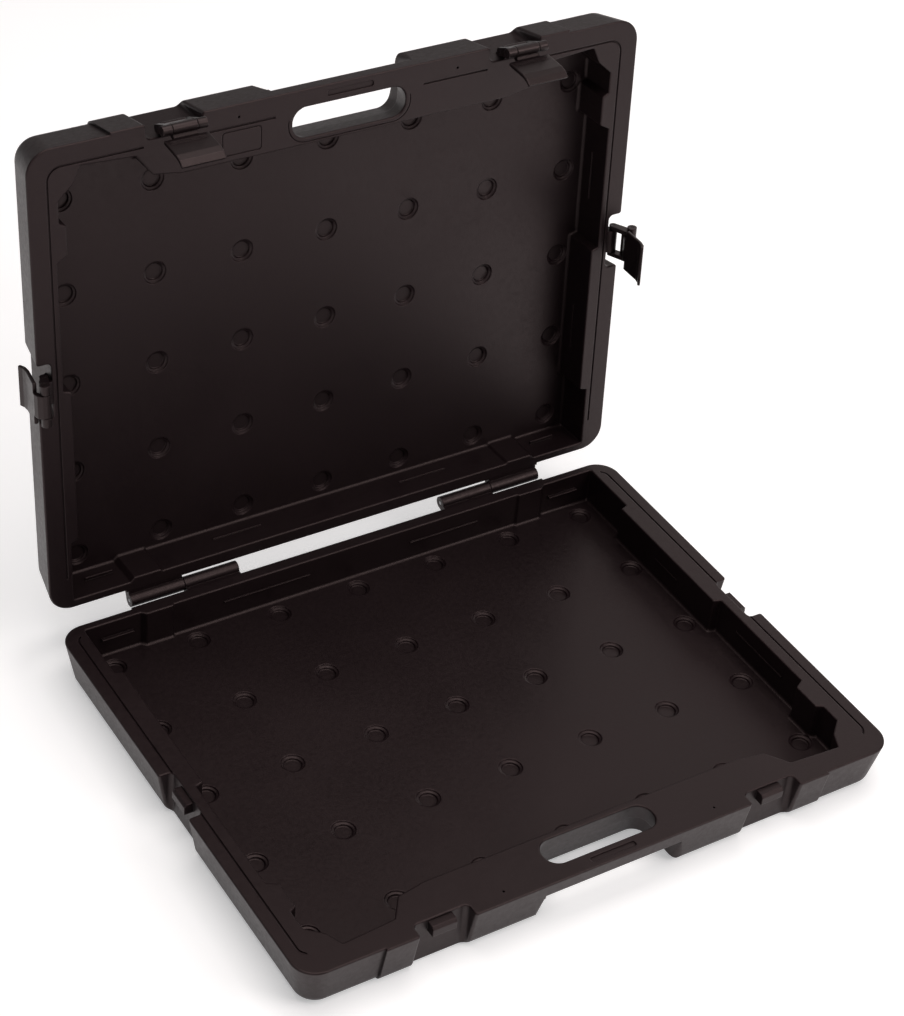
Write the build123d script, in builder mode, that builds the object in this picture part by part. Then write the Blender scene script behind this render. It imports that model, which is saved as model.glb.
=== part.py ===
from build123d import *
import math
import os

# ---------------------------------------------------------------------------
# Hard tool case, open. Millimetres. Origin at the centre of the base's flat
# underside, +Z up, front (handle side) towards -Y, hinges along +Y.
# Both halves are built closed, then the lid and its latches are turned open.
# ---------------------------------------------------------------------------

# overall plan of one half at the rim
HALF_W = 264.5          # half width in X
FRONT_Y = -206.5        # front face of the raised middle of the front wall
BACK_Y = 206.0          # back face of the raised middle of the back wall
CORNER_Y = 2.0          # the four corners stand this much inside the middle
MID_W = 198.0           # half width of the raised middle
RIM_Z = 41.0            # rim plane, depth of one half
RIM_GAP = 0.15          # gap between the two rims when closed
DRAFT = 7.3             # inset of the outer wall at the flat outside face
CORNER_R = 20.0
EDGE_R = 10.0           # rounding of the flat outside face
FLOOR_Z = 8.0           # inner floor panel

# tray
TRAY_BACK = 194.5
TRAY_FRONT = -160.5
TRAY_W = 241.0

# dimple grid of the floor panels
DIMPLE_PX, DIMPLE_PY = 75.0, 80.4
DIMPLE_Y0 = 18.5        # centre row
DIMPLE_R, DIMPLE_RI, DIMPLE_D = 9.6, 7.1, 3.4

# latch recesses
FRONT_LATCH_X = 147.0
SIDE_LATCH_Y = -3.0
RECESS_D = 12.3
RECESS_W = 46.0
SIDE_RECESS_W = 49.0

# hinge
HINGE_Y, HINGE_Z = 213.9, 41.0
KNUCKLE_R = 5.6
PIN_R = 2.0
LID_KNUCKLE = (148.0, 196.0)
BASE_KNUCKLE = (98.5, 147.5)
OPEN_ANGLE = 93.74

# latch, in its own section plane: u outwards from the rim edge, n towards the base
PIVOT_U, PIVOT_N = -6.0, -2.0     # link pin, n measured from the rim plane
LINK_L = 18.0                     # link pin to lever pin
BARREL_R = 4.0
EAR_IN, EAR_OUT = 10.35, 14.0
BARREL_HALF = 18.0
LATCH_PIN_R = 1.5
LEVER_HALF = 18.0
LEVER_LEN = 33.0
PLATE_IN, PLATE_OUT = 5.2, 8.2
RUN = 0.05                        # radial running clearance of a turning pin

# where each latch rests: link swung out from its closed line, lever opened
LINK_OUT = {"front_left": 20.0, "front_right": 20.0, "side_left": 20.0, "side_right": 24.0}
LEVER_OPEN = {"front_left": 207.0, "front_right": 205.0, "side_left": 12.0, "side_right": 208.0}

os.makedirs("parts", exist_ok=True)


def body_outline(z, inset):
    """Rounded rectangle of the whole half at height z."""
    with BuildSketch(Plane.XY.offset(z)) as s:
        with Locations((0, (FRONT_Y + BACK_Y) / 2)):
            RectangleRounded(
                2 * (HALF_W - inset),
                (BACK_Y - FRONT_Y) - 2 * CORNER_Y - 2 * inset,
                CORNER_R - inset * 0.4,
            )
    return s.sketch


def middle_outline(z, inset):
    """The raised middle of the front and back walls."""
    with BuildSketch(Plane.XY.offset(z)) as s:
        with Locations((0, (FRONT_Y + BACK_Y) / 2)):
            Rectangle(2 * MID_W, (BACK_Y - FRONT_Y) - 2 * inset)
    return s.sketch


def tray_outline(z):
    """Inner edge of the tray, seen from above."""
    right = [
        (0, TRAY_BACK),
        (165, TRAY_BACK),
        (167, TRAY_BACK - 1.6),
        (190, TRAY_BACK - 1.6),
        (194, TRAY_BACK + 2.0),
        (TRAY_W + 2.5, TRAY_BACK + 2.0),
        (TRAY_W + 2.5, 141.0),
        (TRAY_W - 4.0, 139.0),
        (TRAY_W - 4.0, 2.0),
        (TRAY_W + 2.5, 0.0),
        (TRAY_W + 2.5, -110.0),
        (TRAY_W - 6.0, -115.0),
        (TRAY_W - 6.0, -140.0),
        (TRAY_W - 0.5, -143.0),
        (TRAY_W - 0.5, -160.5),
        (228.0, -172.2),
        (222.0, -185.5),
        (178.0, -182.5),
        (165.0, -164.5),
        (146.0, -161.5),
        (144.0, TRAY_FRONT),
    ]
    left = [(-x, y) for x, y in reversed(right[1:])]
    with BuildSketch(Plane.XY.offset(z)) as s:
        with BuildLine():
            Polyline(*right, *left, close=True)
        make_face()
        fillet(s.vertices(), radius=1.4)
    return s.sketch


def recess_outline(z, width, depth, radius):
    """Front latch recesses, open to the outside."""
    with BuildSketch(Plane.XY.offset(z)) as s:
        with Locations(
            (-FRONT_LATCH_X, FRONT_Y + depth / 2 - 5),
            (FRONT_LATCH_X, FRONT_Y + depth / 2 - 5),
        ):
            Rectangle(width, depth + 10)
        fillet(s.vertices().filter_by(lambda v: v.Y > FRONT_Y), radius=radius)
    return s.sketch


def side_recess_outline(z, width, depth, radius):
    """Side latch recesses, open to the outside."""
    with BuildSketch(Plane.XY.offset(z)) as s:
        with Locations(
            (-HALF_W + depth / 2 - 5, SIDE_LATCH_Y),
            (HALF_W - depth / 2 + 5, SIDE_LATCH_Y),
        ):
            Rectangle(depth + 10, width)
        fillet(s.vertices().filter_by(lambda v: abs(v.X) < HALF_W), radius=radius)
    return s.sketch


def bay_outline(z, back, half_back, front, r, side=61.0):
    """Hand space under the grip bar, open to the outside, with rounded mouth corners of radius r."""
    k = r * 0.29289
    with BuildSketch(Plane.XY.offset(z)) as s:
        with BuildLine():
            Line((-side - r, front - 14), (-side - r, front))
            ThreePointArc((-side - r, front), (-side - k, front + k), (-side, front + r))
            Polyline((-side, front + r), (-side, -186), (-half_back, back), (half_back, back), (side, -186), (side, front + r))
            ThreePointArc((side, front + r), (side + k, front + k), (side + r, front))
            Polyline((side + r, front), (side + r, front - 14), (-side - r, front - 14))
        make_face()
        fillet(s.vertices().filter_by(lambda v: v.Y > -170), radius=12)
    return s.sketch


def finger_outline(z, back, half_width):
    """Finger opening behind the grip bar."""
    with BuildSketch(Plane.XY.offset(z)) as s:
        with Locations((0, (BAR_BACK + back) / 2)):
            RectangleRounded(2 * half_width, back - BAR_BACK, 12.0)
    return s.sketch


def dimple_profile(plane):
    """Half section of one dimple: a soft ring step and a flat centre."""
    with BuildSketch(plane) as s:
        with BuildLine():
            Polyline(
                (0, 0.5),
                (DIMPLE_R + 0.4, 0.5),
                (DIMPLE_R + 0.1, -0.05),
                (DIMPLE_R - 0.4, -1.2),
                (DIMPLE_RI + 0.9, -1.5),
                (DIMPLE_RI + 0.3, -1.8),
                (DIMPLE_RI, -3.0),
                (DIMPLE_RI - 0.7, -DIMPLE_D),
                (0, -DIMPLE_D),
                close=True,
            )
        make_face()
    return s.sketch


# handle: grip bar and the slope of the hand space behind it
BAR_BACK = -191.4
BAR_Z = 24.0            # underside of the grip bar
OPENING_RIM, OPENING_MID, OPENING_OUT = -166.4, -162.0, -154.8
OPENING_W = (49.0, 51.5, 55.5)

DIMPLE_SPOTS = [
    (i * DIMPLE_PX, DIMPLE_Y0 + j * DIMPLE_PY) for i in range(-3, 4) for j in range(-2, 3)
]

with BuildPart() as dimple:
    revolve(dimple_profile(Plane.XZ), axis=Axis.Z)

# ---------------------------------------------------------------------------
# one half without hinge, tab or keeper
# ---------------------------------------------------------------------------
with BuildPart() as middle:
    loft([middle_outline(0, DRAFT), middle_outline(RIM_Z, 0)], ruled=True)
    fillet(
        middle.edges().filter_by(Axis.X).filter_by(lambda e: e.center().Z < 0.1),
        radius=EDGE_R,
    )

# sealed air space inside the double walls
with BuildPart() as air:
    loft([body_outline(3.2, DRAFT + 3.0), body_outline(RIM_Z - 3.0, 3.4)], ruled=True)
    with BuildSketch(Plane.XY.offset(5.2)):
        with Locations((0, (TRAY_FRONT + 210) / 2 - 1.7)):
            Rectangle(2 * (TRAY_W + 5.5), 210 - TRAY_FRONT + 3.4)
        with Locations((0, -173.0)):
            Rectangle(2 * 169.0, 30)
        with Locations((0, -174.0)):
            Rectangle(2 * 242.0, 30)
    extrude(amount=RIM_Z, mode=Mode.SUBTRACT)
    # solid around the recesses, the handle and behind the hinges
    with BuildSketch(Plane.XY):
        with Locations((-FRONT_LATCH_X, -200), (FRONT_LATCH_X, -200)):
            Rectangle(RECESS_W + 8, 18)
        with Locations((0, -183)):
            Rectangle(2 * 67.0, 78)
        with Locations((-HALF_W, SIDE_LATCH_Y), (HALF_W, SIDE_LATCH_Y)):
            Rectangle(36, SIDE_RECESS_W + 8)
        with Locations((0, 206)):
            Rectangle(2 * HALF_W, 44)
        with Locations(*DIMPLE_SPOTS):
            Circle(DIMPLE_R + 1.6)
    extrude(amount=RIM_Z, mode=Mode.SUBTRACT)

with BuildPart() as half:
    loft([body_outline(0, DRAFT), body_outline(RIM_Z, 0)], ruled=True)
    fillet(half.faces().sort_by(Axis.Z)[0].edges(), radius=EDGE_R)
    add(middle.part)
    # latch recesses
    extrude(recess_outline(0, RECESS_W, RECESS_D, 4.0), amount=RIM_Z, mode=Mode.SUBTRACT)
    extrude(side_recess_outline(0, SIDE_RECESS_W, RECESS_D - 0.3, 4.0), amount=RIM_Z, mode=Mode.SUBTRACT)
    # tray
    extrude(tray_outline(FLOOR_Z), amount=RIM_Z - FLOOR_Z, mode=Mode.SUBTRACT)
    fillet(
        half.edges().filter_by(lambda e: abs(e.center().Z - FLOOR_Z) < 0.01 and abs(e.bounding_box().max.Z - FLOOR_Z) < 0.01 and e.center().Y > -190),
        radius=2.6,
    )
    # sloped front wall of the tray behind the hand space
    with BuildSketch(Plane.YZ.offset(-64)):
        with BuildLine():
            Polyline(
                (TRAY_FRONT - 1.5, RIM_Z - 6),
                (TRAY_FRONT, RIM_Z - 6),
                (TRAY_FRONT + 6.2, FLOOR_Z + 1.0),
                (TRAY_FRONT + 6.2, FLOOR_Z - 1.0),
                (TRAY_FRONT - 1.5, FLOOR_Z - 1.0),
                close=True,
            )
        make_face()
    extrude(amount=128)
    # hand space and finger opening
    loft(
        [
            finger_outline(BAR_Z - 0.5, OPENING_MID + 0.1, OPENING_W[1]),
            finger_outline(RIM_Z, OPENING_RIM, OPENING_W[0]),
        ],
        ruled=True,
        mode=Mode.SUBTRACT,
    )
    loft(
        [
            bay_outline(0, OPENING_OUT, OPENING_W[2], FRONT_Y + DRAFT, 8.0),
            bay_outline(BAR_Z, OPENING_MID, OPENING_W[1], FRONT_Y + 3.0, 1.5),
        ],
        ruled=True,
        mode=Mode.SUBTRACT,
    )
    # softened outer edge of the hand space
    loft(
        [
            bay_outline(0, OPENING_OUT + 2.6, OPENING_W[2] + 2.6, FRONT_Y + DRAFT, 8.0, 63.4),
            bay_outline(3.2, OPENING_OUT - 0.9, OPENING_W[2] - 0.3, FRONT_Y + DRAFT, 8.0, 60.7),
        ],
        ruled=True,
        mode=Mode.SUBTRACT,
    )
    # rounded underside of the grip bar
    with BuildSketch(Plane.YZ.offset(-61)):
        with BuildLine():
            ThreePointArc((-204.8, 31.0), (-203.2, 26.4), (-198.5, 23.9))
            Polyline((-198.5, 23.9), (-198.5, 23.0), (-212.0, 23.0), (-212.0, 31.0), (-204.8, 31.0))
        make_face()
    extrude(amount=122, mode=Mode.SUBTRACT)
    with BuildSketch(Plane.YZ.offset(-48.5)):
        with BuildLine():
            ThreePointArc((-191.3, 30.5), (-193.4, 25.7), (-198.5, 23.9))
            Polyline((-198.5, 23.9), (-198.5, 23.0), (-186.0, 23.0), (-186.0, 30.5), (-191.3, 30.5))
        make_face()
    extrude(amount=97, mode=Mode.SUBTRACT)
    # rounded mouths of the recesses
    fillet(
        half.edges().filter_by(
            lambda e: e.bounding_box().size.Z > 8
            and (
                (e.center().Y < -199.5 and abs(abs(abs(e.center().X) - FRONT_LATCH_X) - RECESS_W / 2) < 0.6)
                or (abs(e.center().X) > 256 and abs(abs(e.center().Y - SIDE_LATCH_Y) - SIDE_RECESS_W / 2) < 0.6)
            )
        ),
        radius=2.2,
    )
    # softened rim
    fillet(
        half.edges().filter_by(lambda e: abs(e.bounding_box().min.Z - RIM_Z) < 0.01),
        radius=1.2,
    )
    # dimples of the floor panel
    with Locations(*[(x, y, FLOOR_Z) for x, y in DIMPLE_SPOTS]):
        add(dimple.part, mode=Mode.SUBTRACT)
    # shallow hollow on the face of the grip bar
    with BuildSketch(Plane.XY.offset(RIM_Z - 0.9)):
        with Locations((0, -199.0)):
            RectangleRounded(40, 5.0, 2.0)
    extrude(amount=2, mode=Mode.SUBTRACT)
    # vent holes of the moulding
    with BuildSketch(Plane.XY.offset(RIM_Z - 2.0)):
        with Locations((-94.5, -195.9), (94.5, -195.9)):
            Circle(1.0)
    extrude(amount=3, mode=Mode.SUBTRACT)
    add(air.part, mode=Mode.SUBTRACT)

print("half", half.part.is_valid, round(half.part.volume), len(half.faces()), len(half.part.solids()))


def wall_rib(x0, x1, z):
    """Raised line on the tray's back wall."""
    with BuildSketch(Plane.XY.offset(z)) as s:
        with Locations(((x0 + x1) / 2, TRAY_BACK + 1.4)):
            Rectangle(x1 - x0, 4.6)
    return s.sketch


def side_rib(x, y0, y1, z):
    """Raised line on a side wall of the tray."""
    with BuildSketch(Plane.XY.offset(z)) as s:
        with Locations((x, (y0 + y1) / 2)):
            Rectangle(5.0, y1 - y0)
    return s.sketch


def knuckle_outline(x):
    """Round knuckle with its web to the back wall, seen from the side, below the rim plane."""
    with BuildSketch(Plane.YZ.offset(x)) as s:
        with Locations((HINGE_Y, HINGE_Z)):
            Circle(KNUCKLE_R)
        with BuildLine():
            Polyline(
                (HINGE_Y - 12.0, HINGE_Z - 0.35),
                (HINGE_Y, HINGE_Z - 0.35),
                (HINGE_Y, HINGE_Z - KNUCKLE_R),
                (HINGE_Y - 12.0, HINGE_Z - KNUCKLE_R - 4.0),
                close=True,
            )
        make_face()
    return s.sketch


def pin_hole(x, radius):
    with BuildSketch(Plane.YZ.offset(x)) as s:
        with Locations((HINGE_Y, HINGE_Z)):
            Circle(radius)
    return s.sketch


def rim_groove(z, half_width, y0, y1, radius, gaps):
    """Narrow line sunk in the rim: a rounded rectangle, broken where a gap (x, y, width, height) lies."""
    with BuildSketch(Plane.XY.offset(z)) as s:
        with Locations((0, (y0 + y1) / 2)):
            RectangleRounded(2 * half_width + 1.5, y1 - y0 + 1.5, radius + 0.75)
            RectangleRounded(2 * half_width - 1.5, y1 - y0 - 1.5, radius - 0.75, mode=Mode.SUBTRACT)
        for x, y, width, height in gaps:
            with Locations((x, y)):
                Rectangle(width, height, mode=Mode.SUBTRACT)
    return s.sketch


# ---------------------------------------------------------------------------
# base
# ---------------------------------------------------------------------------
def keeper_section(plane):
    """Keeper pad: level underside for the latch barrel, sloped lead-in on top."""
    with BuildSketch(plane) as s:
        with BuildLine():
            # across = outwards from the outer rim edge, up = towards the latch's own half
            Polyline(
                (-RECESS_D - 1.0, -11.5),
                (-4.5, -11.5),
                (-4.5, -4.6),
                (-6.6, -2.2),
                (-RECESS_D - 1.0, -2.2),
                close=True,
            )
        make_face()
        fillet(s.vertices().filter_by(lambda v: v.Y < -11 and v.X > -6), radius=0.8)
    return s.sketch


FRONT_PLANES = {
    "front_left": Plane(origin=(-FRONT_LATCH_X, FRONT_Y, RIM_Z), x_dir=(1, 0, 0), z_dir=(0, 0, -1)),
    "front_right": Plane(origin=(FRONT_LATCH_X, FRONT_Y, RIM_Z), x_dir=(1, 0, 0), z_dir=(0, 0, -1)),
}
SIDE_PLANES = {
    "side_left": Plane(origin=(-HALF_W, SIDE_LATCH_Y, RIM_Z), x_dir=(0, -1, 0), z_dir=(0, 0, -1)),
    "side_right": Plane(origin=(HALF_W, SIDE_LATCH_Y, RIM_Z), x_dir=(0, 1, 0), z_dir=(0, 0, -1)),
}
LATCHES = {**FRONT_PLANES, **SIDE_PLANES}

with BuildPart() as keeper:
    # section in the plane across the latch, then its width
    extrude(keeper_section(Plane(origin=(-10, 0, 0), x_dir=(0, 1, 0), z_dir=(1, 0, 0))), amount=20)
    with BuildSketch(Plane(origin=(-5.5, -6, 7), x_dir=(1, 0, 0), z_dir=(0, 1, 0))):
        Rectangle(5.0, 4.6)
    extrude(amount=10, both=False, mode=Mode.SUBTRACT)

with BuildPart() as tab:
    # latch tab: standing lug with the round eye of the link pin
    with BuildSketch(Plane(origin=(-9.9, 0, 0), x_dir=(0, 1, 0), z_dir=(1, 0, 0))):
        with Locations((PIVOT_U, PIVOT_N)):
            Circle(3.7)
        with BuildLine():
            Polyline(
                (-RECESS_D - 1.0, -1.5),
                (-RECESS_D + 0.8, 0.6),
                (-RECESS_D + 2.5, 1.7),
                (PIVOT_U, 1.7),
                (PIVOT_U + 3.4, PIVOT_N - 1.5),
                (-RECESS_D - 1.0, -14.0),
                close=True,
            )
        make_face()
    extrude(amount=19.8)
    with BuildSketch(Plane(origin=(-12, 0, 0), x_dir=(0, 1, 0), z_dir=(1, 0, 0))):
        with Locations((PIVOT_U, PIVOT_N)):
            Circle(LATCH_PIN_R + RUN)
    extrude(amount=24, mode=Mode.SUBTRACT)

with BuildPart() as base_shell:
    add(half.part)
    for side in (-1, 1):
        x0 = BASE_KNUCKLE[0] if side > 0 else -BASE_KNUCKLE[1]
        extrude(knuckle_outline(x0), amount=BASE_KNUCKLE[1] - BASE_KNUCKLE[0])
    for side in (-1, 1):
        x0 = BASE_KNUCKLE[0] if side > 0 else -BASE_KNUCKLE[1]
        extrude(pin_hole(x0 - 5, PIN_R), amount=60, mode=Mode.SUBTRACT)
    for x0, x1 in ((-229, -201), (-119.6, -39), (58, 126), (200, 229)):
        extrude(wall_rib(x0, x1, 25.0), amount=1.3)
    for side in (-1, 1):
        extrude(side_rib(side * 238.7, 51.0, 84.0, 25.5), amount=1.3)
        extrude(side_rib(side * 245.1, -88.0, -25.0, 25.5), amount=1.3)
    extrude(
        rim_groove(RIM_Z - 0.9, 253.5, -184.0, 192.0, 9.0, [(0, 0, 499.0, 420)]),
        amount=2,
        mode=Mode.SUBTRACT,
    )
    for plane in LATCHES.values():
        # the pads stand below the rim, inside the recesses
        flip = Plane(origin=plane.origin, x_dir=-plane.x_dir, z_dir=-plane.z_dir)
        add(keeper.part.moved(flip.location))

# ---------------------------------------------------------------------------
# lid, closed, then turned open
# ---------------------------------------------------------------------------
OPEN = (
    Location((0, HINGE_Y, HINGE_Z))
    * Location((0, 0, 0), (-OPEN_ANGLE, 0, 0))
    * Location((0, -HINGE_Y, -HINGE_Z))
)

with BuildPart() as lid_closed:
    add(mirror(half.part, about=Plane.XY.offset(RIM_Z + RIM_GAP / 2), mode=Mode.PRIVATE))
    for side in (-1, 1):
        x0 = LID_KNUCKLE[0] if side > 0 else -LID_KNUCKLE[1]
        add(
            mirror(
                extrude(knuckle_outline(x0), amount=LID_KNUCKLE[1] - LID_KNUCKLE[0], mode=Mode.PRIVATE),
                about=Plane.XY.offset(RIM_Z),
                mode=Mode.PRIVATE,
            )
        )
    for side in (-1, 1):
        x0 = LID_KNUCKLE[0] if side > 0 else -LID_KNUCKLE[1]
        extrude(pin_hole(x0 - 5, PIN_R + RUN), amount=60, mode=Mode.SUBTRACT)
    for x0, x1 in ((-225, -201), (-110, -65), (68, 114), (202, 225)):
        extrude(wall_rib(x0, x1, 60.0), amount=1.3)
    for side in (-1, 1):
        extrude(side_rib(side * 238.7, 63.5, 107.5, 60.0), amount=1.3)
        extrude(side_rib(side * 245.1, -81.0, -37.5, 60.0), amount=1.3)
    extrude(
        rim_groove(
            RIM_Z + RIM_GAP + 0.8,
            248.5,
            -188.6,
            196.0,
            11.0,
            [(0, 190, 520, 32), (-147, -188.6, 50, 6), (147, -188.6, 50, 6), (0, -188.6, 128, 6)],
        ),
        amount=-2,
        mode=Mode.SUBTRACT,
    )
    # fine line curving round the finger opening
    with BuildSketch(Plane.XY.offset(RIM_Z + RIM_GAP + 0.5)):
        with Locations((0, (BAR_BACK + OPENING_RIM) / 2)):
            RectangleRounded(106.6, OPENING_RIM - BAR_BACK + 8.2, 16.0)
            RectangleRounded(105.0, OPENING_RIM - BAR_BACK + 6.6, 15.2, mode=Mode.SUBTRACT)
            with Locations((0, -11)):
                Rectangle(120, 14, mode=Mode.SUBTRACT)
    extrude(amount=-2, mode=Mode.SUBTRACT)
    # bare rectangular frame on the rim
    with BuildSketch(Plane.XY.offset(RIM_Z + 0.6)):
        with Locations((-92.0, -175.5)):
            RectangleRounded(33.0, 20.0, 2.5)
            RectangleRounded(31.4, 18.4, 1.9, mode=Mode.SUBTRACT)
    extrude(amount=-2, mode=Mode.SUBTRACT)
    for plane in LATCHES.values():
        add(tab.part.moved(plane.location))

lid_part = lid_closed.part.moved(OPEN)

# ---------------------------------------------------------------------------
# hinge pins
# ---------------------------------------------------------------------------
with BuildPart() as hinge_pin:
    with BuildSketch(Plane.YZ):
        Circle(PIN_R)
    extrude(amount=LID_KNUCKLE[1] - BASE_KNUCKLE[0])
    chamfer(hinge_pin.edges(), length=0.4)

# ---------------------------------------------------------------------------
# latch link: two ears and a web, with the end knuckles of the lever pin
# drawn with the link pin at the origin and the lever pin at +Z
# ---------------------------------------------------------------------------
SECTION = Plane(origin=(0, 0, 0), x_dir=(0, 1, 0), z_dir=(1, 0, 0))

with BuildPart() as link:
    for x0 in (EAR_IN, -EAR_OUT):
        with BuildSketch(SECTION.offset(x0)):
            with BuildLine():
                Polyline((-3.2, 0), (3.2, 0), (3.9, LINK_L), (-3.9, LINK_L), close=True)
            make_face()
            Circle(3.3)
            with Locations((0, LINK_L)):
                Circle(BARREL_R)
        extrude(amount=EAR_OUT - EAR_IN)
    for x0 in (EAR_IN, -BARREL_HALF):
        with BuildSketch(SECTION.offset(x0)):
            with Locations((0, LINK_L)):
                Circle(BARREL_R)
        extrude(amount=BARREL_HALF - EAR_IN)
    # web between the ears, outside the keeper pad
    with BuildSketch(SECTION.offset(-EAR_IN - 1)):
        with Locations((2.6, 10.3)):
            RectangleRounded(1.8, 6.0, 0.6)
    extrude(amount=2 * EAR_IN + 2)
    with BuildSketch(SECTION.offset(-30)):
        Circle(LATCH_PIN_R)
        with Locations((0, LINK_L)):
            Circle(LATCH_PIN_R)
    extrude(amount=60, mode=Mode.SUBTRACT)

# ---------------------------------------------------------------------------
# latch lever: centre knuckle, arm and a broad plate with a finger lip
# drawn folded back, with the lever pin at the origin
# ---------------------------------------------------------------------------
with BuildPart() as lever:
    with BuildSketch(SECTION.offset(-9.9)):
        Circle(BARREL_R)
        with BuildLine():
            Polyline(
                (0.0, 4.0),
                (3.4, 3.6),
                (6.6, 1.2),
                (PLATE_OUT, -3.0),
                (PLATE_OUT, -9.0),
                (PLATE_IN, -9.0),
                (PLATE_IN, -4.2),
                (3.2, -2.2),
                close=True,
            )
        make_face()
    extrude(amount=19.8)
    with BuildSketch(SECTION.offset(-LEVER_HALF)):
        with BuildLine():
            Polyline(
                (PLATE_IN, -5.0),
                (PLATE_OUT, -5.0),
                (PLATE_OUT, -LEVER_LEN + 9),
                (PLATE_OUT + 1.0, -LEVER_LEN + 4),
                (PLATE_OUT + 3.2, -LEVER_LEN),
                (PLATE_OUT + 1.4, -LEVER_LEN - 1.2),
                (PLATE_OUT - 1.8, -LEVER_LEN + 3.2),
                (PLATE_IN, -LEVER_LEN + 9),
                close=True,
            )
        make_face()
    extrude(amount=2 * LEVER_HALF)
    fillet(
        lever.edges()
        .filter_by(lambda e: abs(abs(e.center().X) - LEVER_HALF) < 0.01)
        .filter_by(lambda e: e.center().Z < -5.2),
        radius=0.9,
    )
    # three fine grooves across the inside, near the knuckle
    for z in (-8.5, -10.0, -11.5):
        with BuildSketch(SECTION.offset(-14.5)):
            with Locations((PLATE_IN, z)):
                Rectangle(0.7, 0.5)
        extrude(amount=29, mode=Mode.SUBTRACT)
    with BuildSketch(SECTION.offset(-30)):
        Circle(LATCH_PIN_R + RUN)
    extrude(amount=60, mode=Mode.SUBTRACT)

with BuildPart() as link_pin:
    with BuildSketch(SECTION.offset(-EAR_OUT)):
        Circle(LATCH_PIN_R)
    extrude(amount=2 * EAR_OUT)
    chamfer(link_pin.edges(), length=0.3)

with BuildPart() as lever_pin:
    with BuildSketch(SECTION.offset(-BARREL_HALF)):
        Circle(LATCH_PIN_R)
    extrude(amount=2 * BARREL_HALF)
    chamfer(lever_pin.edges(), length=0.3)

# ---------------------------------------------------------------------------
# label and write every piece
# ---------------------------------------------------------------------------
pieces = {
    "base_shell": base_shell.part,
    "lid_shell": lid_part,
    "hinge_pin_left": hinge_pin.part.moved(Location((-LID_KNUCKLE[1], HINGE_Y, HINGE_Z))),
    "hinge_pin_right": hinge_pin.part.moved(Location((BASE_KNUCKLE[0], HINGE_Y, HINGE_Z))),
}
for name, plane in LATCHES.items():
    at_link = (
        OPEN
        * plane.location
        * Location((0, PIVOT_U, PIVOT_N))
        * Location((0, 0, 0), (-LINK_OUT[name], 0, 0))
    )
    at_lever = (
        at_link
        * Location((0, 0, LINK_L))
        * Location((0, 0, 0), (LEVER_OPEN[name], 0, 0))
    )
    pieces[name + "_latch_link"] = link.part.moved(at_link)
    pieces[name + "_link_pin"] = link_pin.part.moved(at_link)
    pieces[name + "_latch_lever"] = lever.part.moved(at_lever)
    pieces[name + "_lever_pin"] = lever_pin.part.moved(at_link * Location((0, 0, LINK_L)))
    print(name, "link axis at", [round(v, 4) for v in at_link.position], "lever axis at", [round(v, 4) for v in at_lever.position])

for name, piece in pieces.items():
    piece.label = name
    export_step(piece, "parts/" + name + ".step")
    print(name, piece.is_valid, len(piece.solids()), round(piece.volume / 1000, 2), "cm3")
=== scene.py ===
import bpy
import math
from mathutils import Matrix, Vector

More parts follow.
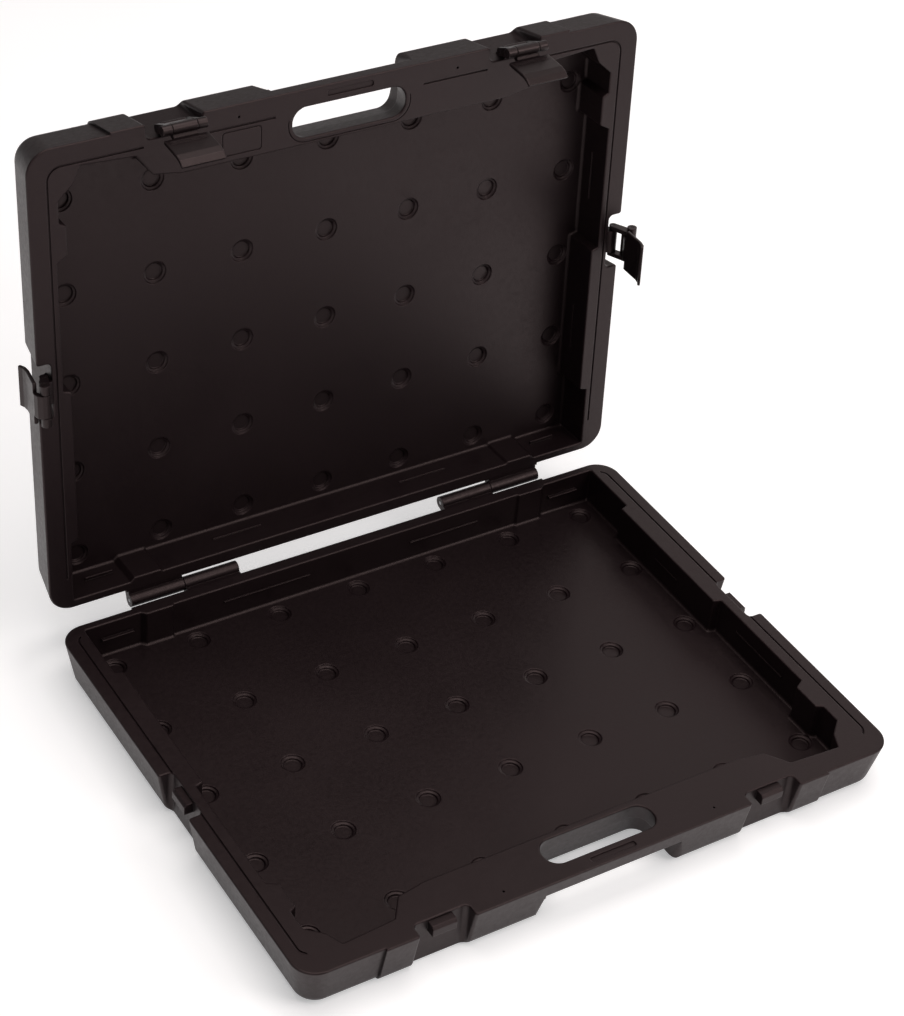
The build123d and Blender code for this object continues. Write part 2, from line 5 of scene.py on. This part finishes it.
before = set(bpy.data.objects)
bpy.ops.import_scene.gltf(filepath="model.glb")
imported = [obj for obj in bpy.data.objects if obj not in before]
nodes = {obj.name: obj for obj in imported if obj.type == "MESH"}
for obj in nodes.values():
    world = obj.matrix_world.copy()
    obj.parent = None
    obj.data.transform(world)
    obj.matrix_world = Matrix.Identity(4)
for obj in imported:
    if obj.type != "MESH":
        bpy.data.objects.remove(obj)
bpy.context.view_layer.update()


# ---------------------------------------------------------------------------
# node helpers
# ---------------------------------------------------------------------------
class Tree:
    """Short way of writing a procedural material."""

    def __init__(self, name):
        self.mat = bpy.data.materials.new(name)
        self.mat.use_nodes = True
        self.nt = self.mat.node_tree
        self.nt.nodes.clear()
        self.out = self.add("ShaderNodeOutputMaterial")
        self.bsdf = self.add("ShaderNodeBsdfPrincipled")
        self.nt.links.new(self.bsdf.outputs[0], self.out.inputs[0])

    def add(self, kind, **props):
        n = self.nt.nodes.new(kind)
        for k, v in props.items():
            setattr(n, k, v)
        return n

    def link(self, a, b):
        self.nt.links.new(a, b)

    def coords(self):
        tc = self.add("ShaderNodeTexCoord")
        return tc.outputs["Object"]

    def noise(self, vec, scale, detail=2.0, rough=0.5, distortion=0.0):
        n = self.add("ShaderNodeTexNoise")
        n.inputs["Scale"].default_value = scale
        n.inputs["Detail"].default_value = detail
        n.inputs["Roughness"].default_value = rough
        n.inputs["Distortion"].default_value = distortion
        self.link(vec, n.inputs["Vector"])
        return n.outputs["Fac"]

    def stretch(self, vec, scale):
        m = self.add("ShaderNodeMapping")
        m.inputs["Scale"].default_value = scale
        self.link(vec, m.inputs["Vector"])
        return m.outputs["Vector"]

    def ramp(self, fac, stops):
        r = self.add("ShaderNodeValToRGB")
        e = r.color_ramp.elements
        while len(e) < len(stops):
            e.new(0.5)
        for el, (p, c) in zip(e, stops):
            el.position = p
            el.color = c if len(c) == 4 else (*c, 1.0)
        self.link(fac, r.inputs["Fac"])
        return r.outputs["Color"]

    def remap(self, fac, a, b, c, d):
        m = self.add("ShaderNodeMapRange")
        for i, v in zip((1, 2, 3, 4), (a, b, c, d)):
            m.inputs[i].default_value = v
        self.link(fac, m.inputs[0])
        return m.outputs[0]

    def mathn(self, op, a, b=None):
        m = self.add("ShaderNodeMath", operation=op)
        for i, v in enumerate((a, b)):
            if v is None:
                continue
            if isinstance(v, (int, float)):
                m.inputs[i].default_value = v
            else:
                self.link(v, m.inputs[i])
        return m.outputs[0]

    def mix(self, fac, a, b):
        m = self.add("ShaderNodeMix", data_type="RGBA")
        if isinstance(fac, (int, float)):
            m.inputs[0].default_value = fac
        else:
            self.link(fac, m.inputs[0])
        for sock, v in ((m.inputs[6], a), (m.inputs[7], b)):
            if isinstance(v, tuple):
                sock.default_value = v if len(v) == 4 else (*v, 1.0)
            else:
                self.link(v, sock)
        return m.outputs[2]

    def bump(self, height, strength, distance, normal=None):
        b = self.add("ShaderNodeBump")
        b.inputs["Strength"].default_value = strength
        b.inputs["Distance"].default_value = distance
        self.link(height, b.inputs["Height"])
        if normal is not None:
            self.link(normal, b.inputs["Normal"])
        return b.outputs["Normal"]


def moulded(name, dark, light, rough, grain, edge=True, spec=0.5):
    """Moulded black plastic: spark-eroded grain, flow clouds, rubbed edges with a painted highlight, faint scuffs
    and painted shade in crevices.
    """
    t = Tree(name)
    v = t.coords()
    clouds = t.noise(v, 7.0, 3.0, 0.55, 0.3)
    fine = t.noise(v, 1150.0, 2.0, 0.6)
    mid = t.noise(v, 260.0, 3.0, 0.6)
    scuff = t.noise(t.stretch(v, (26.0, 190.0, 60.0)), 1.0, 5.0, 0.7, 0.8)
    tone = t.mathn("ADD", t.remap(clouds, 0.3, 0.7, 0.22, 0.78), t.remap(fine, 0.35, 0.65, -0.20, 0.20))
    tone = t.mathn("ADD", tone, t.remap(mid, 0.4, 0.6, -0.07, 0.07))
    col = t.ramp(tone, [(0.0, dark), (1.0, light)])
    base_n = None
    if edge:
        # rubbed edges with a painted highlight: lighter colour where the true and the rounded normal differ
        bev = t.add("ShaderNodeBevel", samples=4)
        bev.inputs["Radius"].default_value = 0.0012
        geo = t.add("ShaderNodeNewGeometry")
        dot = t.add("ShaderNodeVectorMath", operation="DOT_PRODUCT")
        t.link(bev.outputs[0], dot.inputs[0])
        t.link(geo.outputs["Normal"], dot.inputs[1])
        edge_highlight_and_wear = t.remap(dot.outputs["Value"], 0.995, 0.90, 0.0, 1.0)
        edge_highlight_and_wear = t.mathn("MULTIPLY", edge_highlight_and_wear, t.remap(mid, 0.35, 0.65, 0.35, 1.0))
        # painted highlight along edges, mixed with rubbed wear
        col = t.mix(t.mathn("MULTIPLY", edge_highlight_and_wear, 0.75), col, tuple(c * 3.2 for c in light))
        base_n = bev.outputs[0]
    sc = t.remap(scuff, 0.62, 0.72, 0.0, 1.0)
    col = t.mix(t.mathn("MULTIPLY", sc, 0.16), col, tuple(c * 1.6 for c in light))
    # painted shade: grooves, dimple steps and joints closed in by nearby surfaces are darkened and reflect less
    ao = t.add("ShaderNodeAmbientOcclusion", samples=6)
    ao.inputs["Distance"].default_value = 0.0035
    open_sky = t.remap(ao.outputs["AO"], 0.35, 0.9, 0.0, 1.0)
    col = t.mix(open_sky, tuple(c * 0.25 for c in dark), col)
    t.link(col, t.bsdf.inputs["Base Color"])
    t.link(t.mathn("MULTIPLY", t.remap(open_sky, 0.0, 1.0, 0.12, 1.0), spec), t.bsdf.inputs["Specular IOR Level"])
    r = t.mathn("ADD", t.remap(mid, 0.3, 0.7, rough - 0.05, rough + 0.05), t.remap(clouds, 0.3, 0.7, -0.04, 0.04))
    r = t.mathn("ADD", r, t.mathn("MULTIPLY", sc, 0.08))
    t.link(r, t.bsdf.inputs["Roughness"])
    n = t.bump(mid, grain * 0.5, 0.00030, base_n)
    n = t.bump(fine, grain, 0.00014, n)
    t.link(n, t.bsdf.inputs["Normal"])
    t.bsdf.inputs["IOR"].default_value = 1.47
    t.bsdf.inputs["Specular Tint"].default_value = (1.0, 0.78, 0.77, 1.0)
    return t


def steel(name):
    t = Tree(name)
    v = t.coords()
    lines = t.noise(t.stretch(v, (12.0, 1500.0, 1500.0)), 1.0, 3.0, 0.6)
    blot = t.noise(v, 60.0, 3.0, 0.6)
    col = t.ramp(t.mathn("ADD", t.mathn("MULTIPLY", lines, 0.6), t.mathn("MULTIPLY", blot, 0.4)), [(0.25, (0.16, 0.16, 0.165)), (0.8, (0.42, 0.42, 0.43))])
    t.link(col, t.bsdf.inputs["Base Color"])
    t.link(t.remap(lines, 0.2, 0.8, 0.22, 0.42), t.bsdf.inputs["Roughness"])
    t.bsdf.inputs["Metallic"].default_value = 1.0
    t.link(t.bump(lines, 0.25, 0.0001), t.bsdf.inputs["Normal"])
    return t


shell = moulded("shell_plastic", (0.0040, 0.0020, 0.0027), (0.0078, 0.0042, 0.0052), 0.43, 0.36, spec=0.42)
latch = moulded("latch_plastic", (0.0046, 0.0029, 0.0034), (0.0084, 0.0056, 0.0063), 0.38, 0.18, spec=0.42)
pin = moulded("pin_plastic", (0.0050, 0.0038, 0.0040), (0.0085, 0.0066, 0.0069), 0.36, 0.12, edge=False, spec=0.32)
rod = steel("hinge_steel")

for name, obj in nodes.items():
    if name in ("base_shell", "lid_shell"):
        m = shell.mat
    elif name.startswith("hinge_pin"):
        m = rod.mat
    elif name.endswith("_pin"):
        m = pin.mat
    else:
        m = latch.mat
    obj.data.materials.clear()
    obj.data.materials.append(m)


# ---------------------------------------------------------------------------
# floor: a pale back-lit studio table
# ---------------------------------------------------------------------------
FLOOR_GLOW = 0.40


def floor_piece():
    me = bpy.data.meshes.new("studio_floor")
    s = 6.0
    me.from_pydata([(-s, -s, -0.0005), (s, -s, -0.0005), (s, s, -0.0005), (-s, s, -0.0005)], [], [(0, 1, 2, 3)])
    me.update()
    o = bpy.data.objects.new("studio_floor", me)
    bpy.context.scene.collection.objects.link(o)
    t = Tree("floor_pale")
    v = t.coords()
    col = t.ramp(t.noise(v, 3.0, 2.0), [(0.3, (0.87, 0.88, 0.89)), (0.7, (0.91, 0.92, 0.93))])
    t.link(col, t.bsdf.inputs["Base Color"])
    t.link(col, t.bsdf.inputs["Emission Color"])
    t.bsdf.inputs["Emission Strength"].default_value = FLOOR_GLOW
    t.bsdf.inputs["Roughness"].default_value = 0.9
    t.bsdf.inputs["Specular IOR Level"].default_value = 0.1
    me.materials.append(t.mat)
    return o


floor_piece()

# ---------------------------------------------------------------------------
# light: large soft sources, strongest from the upper right and the front
# ---------------------------------------------------------------------------
scene = bpy.context.scene
scene.view_settings.view_transform = "Standard"
world = bpy.data.worlds.new("studio")
scene.world = world
world.use_nodes = True
bg = world.node_tree.nodes["Background"]
bg.inputs[0].default_value = (1.0, 0.99, 0.98, 1.0)
bg.inputs[1].default_value = 0.07


def area(name, loc, target, size, power, color=(1.0, 0.935, 0.91)):
    d = bpy.data.lights.new(name, "AREA")
    d.energy = power
    d.size = size
    d.color = color
    o = bpy.data.objects.new(name, d)
    o.location = loc
    o.rotation_euler = (Vector(target) - Vector(loc)).to_track_quat("-Z", "Y").to_euler()
    scene.collection.objects.link(o)
    return o


area("key", (1.5, -1.9, 1.9), (0, 0, 0.15), 1.5, 31)
area("top", (0.1, 0.0, 2.8), (0, 0.0, 0.1), 2.4, 50)
area("front_left", (-1.9, -1.7, 1.6), (0, 0, 0.15), 1.5, 10)
area("back_card", (0.3, 1.8, 1.25), (0, 0, 0.2), 2.4, 3.6)
area("back_right", (2.0, 1.2, 0.9), (0, 0, 0.1), 1.7, 10.0)

# ---------------------------------------------------------------------------
# camera, fitted to the dimple grids
# ---------------------------------------------------------------------------
right = Vector((0.852081781, -0.517512988, 0.078338669))
down = Vector((-0.268969558, -0.561332447, -0.782662929))
ahead = Vector((0.449012267, 0.645822105, -0.617496390))
cam_data = bpy.data.cameras.new("camera")
cam_data.sensor_width = 36.0
cam_data.sensor_fit = "AUTO"
cam_data.lens = 2566.532 / 1016.0 * 36.0
cam_data.clip_start = 0.05
cam_data.clip_end = 50.0
cam = bpy.data.objects.new("camera", cam_data)
m = Matrix((right, -down, -ahead)).transposed().to_4x4()
m.translation = Vector((-0.885851593, -1.220642998, 1.402608244))
cam.matrix_world = m
scene.collection.objects.link(cam)
scene.camera = cam

# ---------------------------------------------------------------------------
# update the scene, then the end
# ---------------------------------------------------------------------------
bpy.context.view_layer.update()
